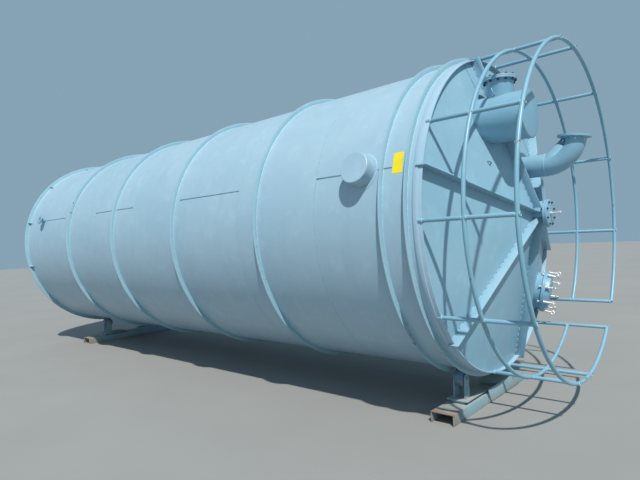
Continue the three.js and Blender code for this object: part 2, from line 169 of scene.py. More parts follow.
# Manhole and its swing bolts. Discs on a bolt are given by their two ends and a radius.
MANHOLE = (-138, 1.215)
MANHOLE_R = 0.198
MANHOLE_RIM = 0.228
MANHOLE_ROOT = -0.050
MANHOLE_FLANGE = (0.069, 0.085)
LID_DOME = ((0.1033, 0.190), (0.136, 0.188), (0.1443, 0.178))
BOLT_SPREADS = (2, -3, 4, -2, 3, -4, 2, -3)
BOLT_PIVOT = (0.048, 0.212)
BOLT_LONG = 0.140
BOLT_R = 0.010
BOLT_WASHER = (0.056, 0.060, 0.018)
BOLT_COLLAR = (0.060, 0.084, 0.0135)
BOLT_PIN = (-0.016, 0.016, 0.008)
EYE_R = 0.0165
EYE_ROD = 0.0065

# Guard rail
RAIL_R = 0.017
RAIL_RING = 1.495
HOOP_X = (0.410, 0.788)
POST_ANGLES = (30, -1.5, -32.9, -80, -95.4, -127.8, -140.8, -172.7, 156.3, 125.3, 94.2, 76.2)
GATE = (-127.8, 219.2)

# Nozzles on the shell, each at an X and an angle, with radii and heights out from the axis
STUB = (-0.505, 15.6)
STUB_R = 0.1365
STUB_ROOT = 1.470
STUB_TOP = 1.625
PAD_R = 0.160
PAD_THICK = 0.006
SIDE_NOZZLE = (-7.390, 15.8)
SIDE_ROOT = 1.480
SIDE_END = 1.592
SIDE_R = 0.038
SIDE_BORE = 0.032
SIDE_RIM = 0.078
SIDE_FLANGE = 0.014

# Label plate, between two X and two angles
LABEL = (-0.200, -0.108, 13.6, 20.4)
LABEL_THICK = 0.0016

# Roller stands
STANDS = (("roof", -0.180), ("base", -7.300))
ROLLER_Y = 0.45418
ROLLER_Z = -1.51385
ROLLER_R = 0.080
ROLLER_HALF = 0.042
ROLLER_EDGE = 0.004
AXLE_R = 0.015
AXLE_HALF = 0.068
BRACKET_AT = 0.054
BRACKET_R = 0.044
BRACKET_THICK = 0.012
BRACKET_SPAN = (0.160, 0.560)
SOLE = (-1.712, -1.700)
SOLE_HALF = 0.105
PACKER_HALF = 0.060
BEAM_TOP = -1.737
BEAM_HALF = 0.1125
BEAM_THICK = 0.009
BEAM_REACH = 0.860
FACE_THICK = 0.008
FACE_PLATE = ((-0.110, 0.700), (-1.831, -1.696))
FLOOR = -1.840

# Camera, its turn given as the directions of its right side, its top and its back
LENS = 28.057
CAMERA_AT = Vector((1.979968, -4.859298, -0.154799))
CAMERA_TURN = Matrix(((0.75157, 0.65804, -0.04601), (0.03529, 0.02955, 0.99894),
                      (0.65871, -0.75240, -0.00101)))


# Shapes

def turned(profile, steps=ROUND, closed=True):
    """An outline of (x, radius) points spun round the X axis."""
    bm = bmesh.new()
    verts = [bm.verts.new((x, -r, 0)) for x, r in profile]
    edges = [bm.edges.new(pair) for pair in zip(verts, verts[1:])]
    if closed:
        edges.append(bm.edges.new((verts[-1], verts[0])))
    bmesh.ops.spin(bm, geom=verts + edges, cent=(0, 0, 0), axis=(1, 0, 0), angle=-2 * math.pi, steps=steps,
                   use_merge=True)
    bmesh.ops.remove_doubles(bm, verts=bm.verts, dist=1e-6)
    bmesh.ops.recalc_face_normals(bm, faces=bm.faces)
    return bm


def tube(x0, x1, inner, outer, steps=ROUND):
    return turned([(x0, inner), (x0, outer), (x1, outer), (x1, inner)], steps)


def disc(x0, x1, r, steps):
    return turned([(x0, 0), (x0, r), (x1, r), (x1, 0)], steps, closed=False)


def bar(x, y, z):
    """A block between pairs of limits."""
    bm = bmesh.new()
    bmesh.ops.create_cube(bm, size=1)
    size = [b - a for a, b in (x, y, z)]
    middle = [(a + b) / 2 for a, b in (x, y, z)]
    bmesh.ops.scale(bm, verts=bm.verts, vec=size)
    bmesh.ops.translate(bm, verts=bm.verts, vec=middle)
    return bm


def plate(outline, depth):
    """A flat outline in the XZ plane given a thickness along Y, centred on Y = 0."""
    bm = bmesh.new()
    face = bm.faces.new([bm.verts.new((x, -depth / 2, z)) for x, z in outline])
    made = bmesh.ops.extrude_face_region(bm, geom=[face])
    back = [v for v in made["geom"] if isinstance(v, bmesh.types.BMVert)]
    bmesh.ops.translate(bm, verts=back, vec=(0, depth, 0))
    bmesh.ops.recalc_face_normals(bm, faces=bm.faces)
    return bm


def open_edges(bm):
    return [e for e in bm.edges if e.is_boundary]


def closed_up(bm):
    """Caps the open ends and turns every face outwards."""
    bmesh.ops.holes_fill(bm, edges=open_edges(bm), sides=0)
    bmesh.ops.recalc_face_normals(bm, faces=bm.faces)
    return bm


def everything(bm):
    """All of a shape, for the cuts."""
    return bm.verts[:] + bm.edges[:] + bm.faces[:]


def soften(bm, width, segments, least=30):
    """Rounds the edges that turn by more than the least angle."""
    sharp = [e for e in bm.edges if e.is_manifold and math.degrees(e.calc_face_angle()) > least]
    bmesh.ops.bevel(bm, geom=sharp, offset=width, offset_type="OFFSET", segments=segments, profile=0.5,
                    affect="EDGES", material=-1)
    return bm


def moved(bm, matrix):
    bmesh.ops.transform(bm, matrix=matrix, verts=bm.verts)
    return bm


def shift(x=0, y=0, z=0):
    return Matrix.Translation((x, y, z))


def spin_to(angle):
    """Takes a piece on the near side, at -Y, to an angle round the silo."""
    return Matrix.Rotation(-math.radians(angle), 4, "X")


def outwards(x, angle):
    """Takes a piece made along +X so that it points out of the shell at an angle."""
    return shift(x) @ spin_to(angle) @ Matrix.Rotation(-math.pi / 2, 4, "Z")


def half_loop(bend, r, sides, steps):
    """A round rod bent into a half circle that bows towards +X, its ends on the Y axis."""
    bm = bmesh.new()
    bmesh.ops.create_circle(bm, segments=sides, radius=r)
    moved(bm, shift(0, -bend) @ Matrix.Rotation(math.pi / 2, 4, "Y"))
    bmesh.ops.spin(bm, geom=bm.verts[:] + bm.edges[:], cent=(0, 0, 0), axis=(0, 0, 1), angle=math.pi,
                   steps=steps)
    return closed_up(bm)


def stamp(bm, shape, matrix=Matrix.Identity(4)):
    """Adds a copy of a shape to a bmesh, moved by a matrix."""
    mesh = bpy.data.meshes.new("stamp")
    shape.to_mesh(mesh)
    mesh.transform(matrix)
    bm.from_mesh(mesh)
    bpy.data.meshes.remove(mesh)


def repeated(make, places):
    """One shape, made once for each place."""
    bm = bmesh.new()
    for matrix in places:
        shape = make()
        stamp(bm, shape, matrix)
        shape.free()
    return bm


def joined(*shapes):
    """One shape made of several, which are freed."""
    bm = bmesh.new()
    for shape in shapes:
        stamp(bm, shape)
        shape.free()
    return bm


def finished(bm, name, material, body="silo", nodes=()):
    """Puts a shape in its place on the part as a piece with its material."""
    moved(bm, Matrix.Translation(ORIGIN))
    mesh = bpy.data.meshes.new(name)
    bm.to_mesh(mesh)
    bm.free()
    for polygon in mesh.polygons:
        polygon.use_smooth = True
    mesh.set_sharp_from_angle(angle=math.radians(CREASE))
    mesh.materials.append(material)
    piece = bpy.data.objects.new(name, mesh)
    bpy.context.scene.collection.objects.link(piece)
    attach(piece, body)
    if nodes:
        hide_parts(*nodes)


# Materials

DUST = (0.46, 0.44, 0.38)
RUST = (0.19, 0.075, 0.03)


class Finish:
    """A material with short calls for its nodes. Patterns read Object coordinates."""

    def __init__(self, name):
        self.material = bpy.data.materials.new(name)
        self.material.use_nodes = True
        self.tree = self.material.node_tree
        self.shader = self.tree.nodes["Principled BSDF"]
        self.place = self.tree.nodes.new("ShaderNodeTexCoord").outputs["Object"]

    def link(self, source, target):
        self.tree.links.new(source, target)

    def stretched(self, scale):
        node = self.tree.nodes.new("ShaderNodeMapping")
        node.inputs["Scale"].default_value = scale
        self.link(self.place, node.inputs["Vector"])
        return node.outputs["Vector"]

    def clouds(self, scale, detail=4.0, rough=0.55, place=None, bend=0.0):
        node = self.tree.nodes.new("ShaderNodeTexNoise")
        node.inputs["Scale"].default_value = scale
        node.inputs["Detail"].default_value = detail
        node.inputs["Roughness"].default_value = rough
        node.inputs["Distortion"].default_value = bend
        self.link(place or self.place, node.inputs["Vector"])
        return node.outputs["Fac"]

    def range(self, value, low, high, to_low=0.0, to_high=1.0):
        node = self.tree.nodes.new("ShaderNodeMapRange")
        node.inputs["From Min"].default_value = low
        node.inputs["From Max"].default_value = high
        node.inputs["To Min"].default_value = to_low
        node.inputs["To Max"].default_value = to_high
        self.link(value, node.inputs["Value"])
        return node.outputs["Result"]

    def math(self, kind, a, b):
        node = self.tree.nodes.new("ShaderNodeMath")
        node.operation = kind
        for socket, value in zip(node.inputs, (a, b)):
            if isinstance(value, (int, float)):
                socket.default_value = value
            else:
                self.link(value, socket)
        return node.outputs["Value"]

    def mix(self, amount, a, b):
        node = self.tree.nodes.new("ShaderNodeMix")
        node.data_type = "RGBA"
        self.link(amount, node.inputs["Factor"])
        for socket, value in ((node.inputs["A"], a), (node.inputs["B"], b)):
            if isinstance(value, tuple):
                socket.default_value = value + (1,)
            else:
                self.link(value, socket)
        return node.outputs["Result"]

    def facing_up(self):
        node = self.tree.nodes.new("ShaderNodeNewGeometry")
        split = self.tree.nodes.new("ShaderNodeSeparateXYZ")
        self.link(node.outputs["Normal"], split.inputs["Vector"])
        return split.outputs["Z"]

    def along(self, axis):
        split = self.tree.nodes.new("ShaderNodeSeparateXYZ")
        self.link(self.place, split.inputs["Vector"])
        return split.outputs[axis]

    def bump(self, *layers):
        """Layers of (height value, distance in metres)."""
        normal = None
        for value, distance in layers:
            node = self.tree.nodes.new("ShaderNodeBump")
            node.inputs["Strength"].default_value = 1.0
            node.inputs["Distance"].default_value = distance
            self.link(value, node.inputs["Height"])
            if normal:
                self.link(normal, node.inputs["Normal"])
            normal = node.outputs["Normal"]
        self.link(normal, self.shader.inputs["Normal"])

    def done(self, color, rough, metallic=0.0):
        self.link(color, self.shader.inputs["Base Color"])
        self.link(rough, self.shader.inputs["Roughness"])
        self.shader.inputs["Metallic"].default_value = metallic
        return self.material


def painted_steel(name, color, shade, dust, chips=0.0):
    """Brushed-on enamel over plate: slow colour drift, streaks, settled dust, a few chips."""
    f = Finish(name)
    drift = f.range(f.clouds(0.9, 5, 0.6, bend=0.4), 0.35, 0.68)
    base = f.mix(drift, color, shade)
    patches = f.range(f.clouds(6.5, 6, 0.65), 0.52, 0.75, 0.0, 0.35)
    lighter = tuple(min(1.0, c * 1.22 + 0.02) for c in color)
    base = f.mix(patches, base, lighter)
    streaks = f.range(f.clouds(3.0, 5, 0.6, place=f.stretched((2.2, 2.2, 0.16))), 0.56, 0.78, 0.0, 0.22)
    base = f.mix(streaks, base, tuple(c * 0.72 for c in shade))
    speck = f.range(f.clouds(160, 3, 0.7), 0.62, 0.74, 0.0, 0.25)
    base = f.mix(speck, base, tuple(c * 0.62 for c in shade))
    up = f.range(f.facing_up(), 0.15, 0.95)
    settled = f.math("MULTIPLY", up, f.range(f.clouds(4.0, 6, 0.7), 0.38, 0.72, 0.0, dust * 2))
    base = f.mix(settled, base, DUST)
    if chips:
        spots = f.math("MULTIPLY", f.clouds(26, 4, 0.7), f.range(f.clouds(1.9, 3), 0.42, 0.66))
        rust = f.range(spots, 0.6 - chips, 0.64 - chips)
        base = f.mix(rust, base, RUST)
    rough = f.range(f.clouds(11, 5, 0.6), 0.3, 0.75, 0.34, 0.52)
    rough = f.math("ADD", rough, f.math("MULTIPLY", settled, 0.5))
    f.bump((f.clouds(1.6, 2, 0.5), 0.006), (f.clouds(240, 2, 0.5), 0.00035))
    f.shader.inputs["Coat Weight"].default_value = 0.12
    f.shader.inputs["Coat Roughness"].default_value = 0.3
    return f.done(base, rough)


def weld_bead(name, color, shade):
    """Painted weld metal with the ripples of its runs."""
    f = Finish(name)
    base = f.mix(f.range(f.clouds(40, 4, 0.6), 0.35, 0.7), color, shade)
    rust = f.range(f.clouds(18, 5, 0.7), 0.66, 0.74, 0.0, 0.6)
    base = f.mix(rust, base, (0.22, 0.11, 0.06))
    f.bump((f.clouds(190, 2, 0.5), 0.0016))
    return f.done(base, f.range(f.clouds(30, 3), 0.3, 0.7, 0.4, 0.6))


def zinc_plated(name):
    f = Finish(name)
    base = f.mix(f.range(f.clouds(60, 4, 0.6), 0.35, 0.7), (0.8, 0.81, 0.82), (0.6, 0.6, 0.6))
    stain = f.range(f.clouds(35, 5, 0.7), 0.6, 0.75, 0.0, 0.5)
    base = f.mix(stain, base, (0.4, 0.34, 0.26))
    f.bump((f.clouds(500, 2, 0.5), 0.0003))
    return f.done(base, f.range(f.clouds(50, 4), 0.3, 0.7, 0.28, 0.46), 0.55)


def dark_bolt(name):
    f = Finish(name)
    base = f.mix(f.range(f.clouds(70, 4, 0.6), 0.35, 0.7), (0.035, 0.037, 0.042), (0.09, 0.08, 0.07))
    rust = f.range(f.clouds(120, 5, 0.7), 0.6, 0.7, 0.0, 0.7)
    base = f.mix(rust, base, (0.16, 0.075, 0.04))
    f.bump((f.clouds(600, 2, 0.5), 0.0004))
    return f.done(base, f.range(f.clouds(60, 4), 0.3, 0.7, 0.4, 0.62), 0.5)


def worn_tread(name):
    """Roller steel: paint on the sides, rubbed bare round the tread."""
    f = Finish(name)
    paint = f.mix(f.range(f.clouds(8, 4), 0.35, 0.7), (0.12, 0.25, 0.37), (0.08, 0.17, 0.26))
    bare = f.range(f.clouds(22, 5, 0.7, place=f.stretched((0.3, 1, 1))), 0.5, 0.62, 0.0, 0.75)
    base = f.mix(bare, paint, (0.3, 0.29, 0.28))
    f.bump((f.clouds(90, 3, 0.6), 0.0006))
    return f.done(base, f.range(f.clouds(14, 4), 0.3, 0.7, 0.35, 0.6), 0.2)


def dusty_channel(name):
    """Painted channel under yard dust, with rust where the paint has gone."""
    f = Finish(name)
    paint = f.mix(f.range(f.clouds(3.2, 5), 0.35, 0.68), (0.2, 0.36, 0.44), (0.27, 0.36, 0.38))
    up = f.range(f.facing_up(), 0.1, 0.9)
    dust = f.math("MULTIPLY", up, f.range(f.clouds(5.5, 7, 0.7), 0.34, 0.62, 0.15, 0.92))
    base = f.mix(dust, paint, (0.36, 0.33, 0.28))
    low = f.range(f.along("Z"), 0.0, 0.06, 0.8, 0.0)
    splash = f.math("MULTIPLY", low, f.range(f.clouds(14, 5, 0.7), 0.35, 0.7))
    base = f.mix(splash, base, (0.3, 0.25, 0.19))
    rust = f.range(f.clouds(7.0, 8, 0.75), 0.58, 0.68, 0.0, 0.85)
    base = f.mix(rust, base, (0.17, 0.075, 0.035))
    worn_end = f.range(f.along("Y"), -0.85, -0.56, 0.9, 0.0)
    brown = f.math("MULTIPLY", worn_end, f.range(f.clouds(9.0, 6, 0.7), 0.3, 0.55, 0.25, 1.0))
    base = f.mix(brown, base, (0.2, 0.13, 0.095))
    f.bump((f.clouds(45, 5, 0.65), 0.0012))
    return f.done(base, f.range(f.clouds(9, 5), 0.3, 0.7, 0.6, 0.88))


def yellow_enamel(name):
    f = Finish(name)
    base = f.mix(f.range(f.clouds(9, 5), 0.35, 0.7), (0.86, 0.7, 0.015), (0.76, 0.6, 0.02))
    grime = f.range(f.clouds(38, 6, 0.7), 0.64, 0.78, 0.0, 0.45)
    base = f.mix(grime, base, (0.2, 0.17, 0.08))
    f.bump((f.clouds(120, 3, 0.5), 0.0003))
    return f.done(base, f.range(f.clouds(20, 4), 0.3, 0.7, 0.38, 0.6))


def pale_floor(name):
    f = Finish(name)
    base = f.mix(f.range(f.clouds(0.6, 4), 0.3, 0.7), (0.29, 0.29, 0.283), (0.272, 0.272, 0.266))
    return f.done(base, f.range(f.clouds(2.0, 3), 0.3, 0.7, 0.75, 0.9))


SHELL_PAINT = painted_steel("shell_paint", (0.33, 0.485, 0.6), (0.295, 0.455, 0.575), dust=0.1)
ROOF_PAINT = painted_steel("roof_paint", (0.26, 0.445, 0.56), (0.22, 0.41, 0.53), dust=0.12)
TRIM_PAINT = painted_steel("trim_paint", (0.3, 0.48, 0.57), (0.26, 0.44, 0.535), dust=0.14, chips=0.01)
RAIL_PAINT = painted_steel("rail_paint", (0.21, 0.41, 0.53), (0.17, 0.36, 0.48), dust=0.08, chips=0.02)
NOZZLE_PAINT = painted_steel("nozzle_paint", (0.22, 0.41, 0.54), (0.18, 0.37, 0.505), dust=0.1, chips=0.01)
INNER_PAINT = painted_steel("inner_primer", (0.2, 0.235, 0.245), (0.17, 0.19, 0.2), dust=0.4, chips=0.04)
WELD = weld_bead("weld_bead", (0.3, 0.5, 0.6), (0.2, 0.37, 0.46))
# Seam welds: a dark weld colour, set well below the paint so that it also paints the shade along the seam
# lines
SEAM_WITH_PAINTED_SHADE = weld_bead("seam_bead_painted_shade", (0.14, 0.26, 0.33), (0.09, 0.17, 0.22))
ZINC = zinc_plated("zinc_plate")
DARK_STEEL = dark_bolt("dark_steel")
TREAD = worn_tread("roller_tread")
CHANNEL = dusty_channel("dusty_channel")
YELLOW = yellow_enamel("yellow_enamel")


def cone_x(r):
    """Where the cone's outer face is at a radius."""
    return CONE_APEX - CONE_SLOPE * r


# Shell, skirt and rings

def pulled_in(x):
    """How far the plate draws in beside a girth weld."""
    return sum(PULL_DEPTH * math.exp(-((x - weld) / PULL_WIDTH) ** 2) for weld in GIRTH_WELDS)


def shell_plate(x0, x1):
    """A course with the welds' pull and slight dents in its outer face. The inner face stays round."""
    bm = tube(x0, x1, SHELL_R - WALL, SHELL_R)
    soften(bm, FINE_EDGE, 1)
    cuts = [x0 + SHELL_STEP * i for i in range(1, int((x1 - x0) / SHELL_STEP))]
    for x in cuts:
        bmesh.ops.bisect_plane(bm, geom=everything(bm), plane_co=(x, 0, 0), plane_no=(1, 0, 0))
    for v in bm.verts:
        across = Vector((0, v.co.y, v.co.z))
        if across.length < SHELL_R - 0.002:
            continue
        dent = DENT_DEPTH * noise.noise(Vector((v.co.x * 1.1, v.co.y * 1.4, v.co.z * 1.4)))
        v.co -= across.normalized() * (pulled_in(v.co.x) + max(dent, 0))
    return bm


def shell():
    half_gap = GAP / 2
    for name, x0, x1 in COURSES:
        bm = shell_plate(x0 + half_gap, x1 - (0 if x1 == 0 else half_gap))
        finished(bm, name.replace("_course", "") + "_plates", SHELL_PAINT, nodes=[name])


def girth_weld(x):
    low = SHELL_R - BEAD_HIGH
    shoulder = low + BEAD_HIGH * 0.8
    half = BEAD_WIDE * 0.5
    return turned([(x - BEAD_WIDE, low), (x - half, shoulder), (x, SHELL_R), (x + half, shoulder),
                   (x + BEAD_WIDE, low)])


def long_weld(x0, x1, angle):
    bm = bar((x0, x1), (-SHELL_R - SEAM_HIGH, -SHELL_R + 0.003), (-SEAM_WIDE, SEAM_WIDE))
    soften(bm, 0.0022, 2)
    return moved(bm, spin_to(angle))


def shell_welds():
    finished(joined(*[girth_weld(x) for x in GIRTH_WELDS]), "girth_welds", WELD)
    # The long seams take the darker seam colour, which paints shade along them
    finished(joined(*[long_weld(*w) for w in LONG_WELDS]), "long_seam_welds", SEAM_WITH_PAINTED_SHADE)


def fillet(x, r, side):
    """Weld fillet in the corner beside a ring or a flange."""
    hollow = FILLET * 0.4
    return turned([(x, r), (x + side * FILLET, r), (x + side * hollow, r + hollow), (x, r + FILLET)])


def stiffening_rings():
    for i, x in enumerate(RING_X):
        bm = tube(x - RING_HALF, x + RING_HALF, SHELL_R + SLIP, RING_OUTER)
        soften(bm, 0.0016, 2)
        finished(bm, f"ring_flat_{i + 1}", TRIM_PAINT, nodes=[f"stiffening_ring_{i + 1}"])
    beads = [fillet(x + side * RING_HALF, SHELL_R - 0.0005, side) for x in RING_X for side in (-1, 1)]
    finished(joined(*beads), "ring_fillets", WELD)


def rim():
    bm = turned([(GAP, LIP_INNER), (GAP, LIP_OUTER), (LIP_STEP, LIP_OUTER), (LIP_STEP, LIP_THIN),
                 (LIP_END, LIP_THIN), (LIP_END, LIP_INNER)])
    soften(bm, EDGE, 2)
    finished(bm, "lip_band", SHELL_PAINT, nodes=["rim_ring"])
    bead = turned([(SLIP, SHELL_R), (-0.007, SHELL_R), (-0.003, SHELL_R + 0.004), (SLIP, SHELL_R + 0.006)])
    finished(bead, "lip_fillet", WELD)


def gusset():
    outline = [(0, 0), (GUSSET_LONG, 0), (GUSSET_LONG, GUSSET_TOE), (GUSSET_TOP, GUSSET_HIGH),
               (0, GUSSET_HIGH)]
    bm = plate(outline, GUSSET_THICK)
    soften(bm, FINE_EDGE, 1)
    return moved(bm, Matrix.Rotation(math.pi / 2, 4, "X"))


def base_end():
    front = BASE_X + BASE_THICK
    bm = tube(BASE_X, front, *BASE_RADII)
    soften(bm, 0.002, 2)
    for i in range(GUSSETS):
        angle = GUSSET_START + 360 / GUSSETS * i
        place = spin_to(angle) @ shift(front - 0.0005, -SHELL_R - GAP, 0)
        one = gusset()
        stamp(bm, one, place)
        one.free()
    finished(bm, "base_flange", TRIM_PAINT, nodes=["base_ring"])
    bead = turned([(front, SHELL_R - 0.001), (front + 0.008, SHELL_R), (front + 0.003, SHELL_R + 0.004),
                   (front, SHELL_R + 0.008)])
    finished(bead, "base_fillet", WELD)


def discharge_end():
    top, bottom = HOPPER_X
    bm = turned([(top, INSIDE_R), (top + HOPPER_ACROSS, INSIDE_R), (bottom + HOPPER_ACROSS, OUTLET_R),
                 (bottom, OUTLET_R)], 160)
    finished(bm, "discharge_hopper", INNER_PAINT, nodes=["discharge_cone"])
    root = bottom - GAP
    end = root - OUTLET_LONG
    back = end + OUTLET_FLANGE
    outer = OUTLET_R + WALL
    neck = turned([(root, OUTLET_R), (root, outer), (back, outer), (back, OUTLET_RIM), (end, OUTLET_RIM),
                   (end, OUTLET_R)], 72)
    soften(neck, FINE_EDGE, 2)
    finished(neck, "outlet_neck", NOZZLE_PAINT, nodes=["outlet_flange"])
    finished(flange_studs(end, OUTLET_PITCH, 8, OUTLET_STUD), "outlet_studs", DARK_STEEL)
    finished(fillet(back, outer, 1), "outlet_fillet", WELD)


# Fasteners, made along +X

def ring_of(count):
    """Angles evenly round a circle, from half a step."""
    return [(i + 0.5) * 2 * math.pi / count for i in range(count)]


def nut(size, high):
    bm = bmesh.new()
    bmesh.ops.create_cone(bm, cap_ends=True, segments=6, radius1=size, radius2=size, depth=high)
    soften(bm, size * 0.08, 1)
    return moved(bm, shift(high / 2) @ Matrix.Rotation(math.pi / 2, 4, "Y"))


def stud(long, r):
    """A stud bolt from X = 0, with a nut near each end."""
    rod = disc(0, long, r, 14)
    past = 0.004
    high = r * 1.5
    ends = [moved(nut(r * 1.75, high), shift(x)) for x in (past, long - past - high)]
    return joined(rod, *ends)


def flange_studs(low, pitch, count, size):
    """Studs round a flange pair with its lower face at X = low. The size is how far they start below that
    face, their length and their radius."""
    below, long, r = size
    places = [shift(low - below, pitch * math.cos(a), pitch * math.sin(a)) for a in ring_of(count)]
    return repeated(lambda: stud(long, r), places)


# Roof cone and ribs

def roof_plate():
    steps = [APEX_BORE + (INSIDE_R - APEX_BORE) * i / 14 for i in range(15)]
    outer = [(cone_x(r), r) for r in steps]
    inner = [(cone_x(r) - WALL, r) for r in reversed(steps)]
    bm = turned(outer + inner, 192)
    for v in bm.verts:
        v.co.x -= CONE_DENT * max(0.0, noise.noise(Vector((0, v.co.y * 1.7, v.co.z * 1.7 + 5))))
    finished(bm, "roof_plates", ROOF_PAINT, nodes=["roof_cone"])


def on_cone(angle, r, across=0):
    """A place on the cone with +X square to it."""
    return spin_to(angle) @ shift(cone_x(r), -r, across) @ Matrix.Rotation(-math.atan(CONE_SLOPE), 4, "Z")


def roof_seams():
    """A plate seam near the edge of the cone and a small cleat further in."""
    seam = moved(soften(bar(*ROOF_SEAM), EDGE, 2), on_cone(*ROOF_SEAM_AT))
    cleat = moved(half_loop(CLEAT_BEND, CLEAT_ROD, 10, 16), on_cone(*CLEAT_AT))
    # The roof seam's dark line is painted shade, carried by the dark seam colour
    finished(joined(seam, cleat), "roof_seam", SEAM_WITH_PAINTED_SHADE)


def rib_x(r):
    """Where a rib's front edge is at a radius."""
    return RIB_FRONT - RIB_SLOPE * r


def rib(angle):
    """A flat bar down the cone that steps over the lip, clear of both by the slip."""
    edge = LIP_INNER - 0.0015
    step = LIP_STEP + SLIP
    end = LIP_END + SLIP
    inner, outer = RIB_SPAN
    outline = [(cone_x(inner) + SLIP, inner), (rib_x(inner), inner), (rib_x(outer), outer),
               (RIB_TOE, outer), (RIB_TOE, LIP_OUTER + SLIP), (step, LIP_OUTER + SLIP),
               (step, LIP_THIN + SLIP), (end, LIP_THIN + SLIP), (end, edge), (cone_x(edge) + SLIP, edge)]
    bm = plate(outline, RIB_THICK)
    moved(bm, Matrix.Rotation(math.pi / 2, 4, "X"))
    soften(bm, 0.0018, 2)
    return moved(bm, spin_to(angle))


def rib_runs(angle):
    """Weld runs close behind each other along both sides of a rib's foot."""
    shapes = []
    for i in range(WELD_RUNS):
        r = WELD_RUN_START + WELD_RUN_STEP * i
        for side in (-1, 1):
            run = soften(bar(*WELD_RUN), 0.003, 2)
            shapes.append(moved(run, on_cone(angle, r, side * (RIB_THICK / 2 + 0.001))))
    return joined(*shapes)


def ribs():
    for i, angle in enumerate(RIB_ANGLES):
        finished(rib(angle), f"rib_bar_{i + 1}", ROOF_PAINT, nodes=[f"roof_rib_{i + 1}"])
    finished(joined(*[rib_runs(angle) for angle in RIB_ANGLES]), "rib_welds", WELD)


# Centre nozzle

def centre_nozzle():
    back = APEX_END - APEX_FLANGE
    neck = turned([(cone_x(APEX_BORE), APEX_BORE), (cone_x(APEX_R) + 0.0005, APEX_R), (back, APEX_R),
                   (back, APEX_RIM), (APEX_END, APEX_RIM), (APEX_END, APEX_BORE)], 64)
    soften(neck, EDGE, 2)
    finished(neck, "centre_neck", NOZZLE_PAINT, nodes=["centre_nozzle"])
    cover = disc(APEX_END + GAP, APEX_END + GAP + APEX_FLANGE, APEX_RIM, 64)
    soften(cover, EDGE, 2)
    finished(cover, "centre_cover", NOZZLE_PAINT, nodes=["centre_nozzle_cover"])
    finished(flange_studs(back, APEX_PITCH, 8, APEX_STUD), "centre_studs", DARK_STEEL)
    rod = disc(APEX_END + APEX_FLANGE, SPINDLE_END, SPINDLE_R, 24)
    nuts = [moved(nut(size, high), shift(x)) for x, size, high in SPINDLE_NUTS]
    finished(joined(rod, *nuts), "centre_spindle", ZINC)


# Vent drum, branch and cover

def at_drum(bm):
    return moved(bm, Matrix.Translation(DRUM))


def vent_drum():
    r = DRUM_R
    outline = [(DRUM_START, r), (DRUM_END - 0.006, r), (DRUM_END, r - 0.004), (DRUM_END, 0)]
    bm = closed_up(turned(outline, 128, closed=False))
    soften(bm, 0.002, 2, 40)
    finished(at_drum(bm), "drum_shell", NOZZLE_PAINT, nodes=["vent_drum"])
    weld = [(DRUM_END - 0.012, r - 0.001), (DRUM_END - 0.010, r + 0.002), (DRUM_END - 0.005, r + 0.002),
            (DRUM_END - 0.003, r - 0.001)]
    finished(at_drum(turned(weld, 128)), "drum_end_weld", WELD)


def branch():
    face = BRANCH_TOP - BRANCH_FLANGE - GAP
    low = face - BRANCH_FLANGE
    bore = BRANCH_R - WALL
    root = DRUM.z + BRANCH_ROOT
    place = shift(BRANCH_X, DRUM.y, 0) @ UPRIGHT
    neck = turned([(root, bore), (root, BRANCH_R), (low, BRANCH_R), (low, BRANCH_RIM), (face, BRANCH_RIM),
                   (face, bore)], 96)
    soften(neck, EDGE, 2)
    finished(moved(neck, place), "branch_neck", NOZZLE_PAINT, nodes=["drum_branch"])
    lid = disc(face + GAP, BRANCH_TOP, BRANCH_RIM, 96)
    soften(lid, EDGE, 2)
    finished(moved(lid, place), "branch_lid", NOZZLE_PAINT, nodes=["branch_cover"])
    studs = flange_studs(low, BRANCH_PITCH, 12, BRANCH_STUD)
    finished(moved(studs, place), "branch_studs", DARK_STEEL)


def branch_grip():
    """A bent rod on the near side of the branch, its bow towards -Y."""
    turn = Matrix.Rotation(math.radians(GRIP_LEAN), 4, "Y") @ Matrix.Rotation(-math.pi / 2, 4, "Z")
    place = shift(BRANCH_X + GRIP_X, DRUM.y - BRANCH_R + 0.002, GRIP_HEIGHT) @ turn
    finished(moved(half_loop(GRIP_BEND, GRIP_ROD, 12, 20), place), "branch_grip", WELD)


# Fill pipe

def fill_pipe():
    stub = tube(FILL_START, FILL.x, FILL_R - WALL, FILL_R, 96)
    moved(stub, shift(0, FILL.y, FILL.z))
    finished(stub, "fill_stub", NOZZLE_PAINT, nodes=["fill_pipe"])
    finished(fill_elbow(), "fill_elbow", NOZZLE_PAINT, nodes=["fill_bend"])
    ring = moved(fill_flange(), at_bend_end() @ shift(GAP))
    finished(ring, "fill_mouth_flange", NOZZLE_PAINT, nodes=["fill_flange"])
    finished(fill_welds(), "fill_welds", WELD)


def fill_welds():
    """The beads at both ends of the bend."""
    low = FILL_R - 0.001
    first = turned([(-0.006, low), (-0.003, FILL_R + 0.0022), (0.003, FILL_R + 0.0022), (0.006, low)], 96)
    second = turned([(-0.006, low), (-0.003, FILL_R + 0.004), (0.0, FILL_R + 0.006), (0.0, low)], 96)
    return joined(moved(first, Matrix.Translation(FILL)), moved(second, at_bend_end()))


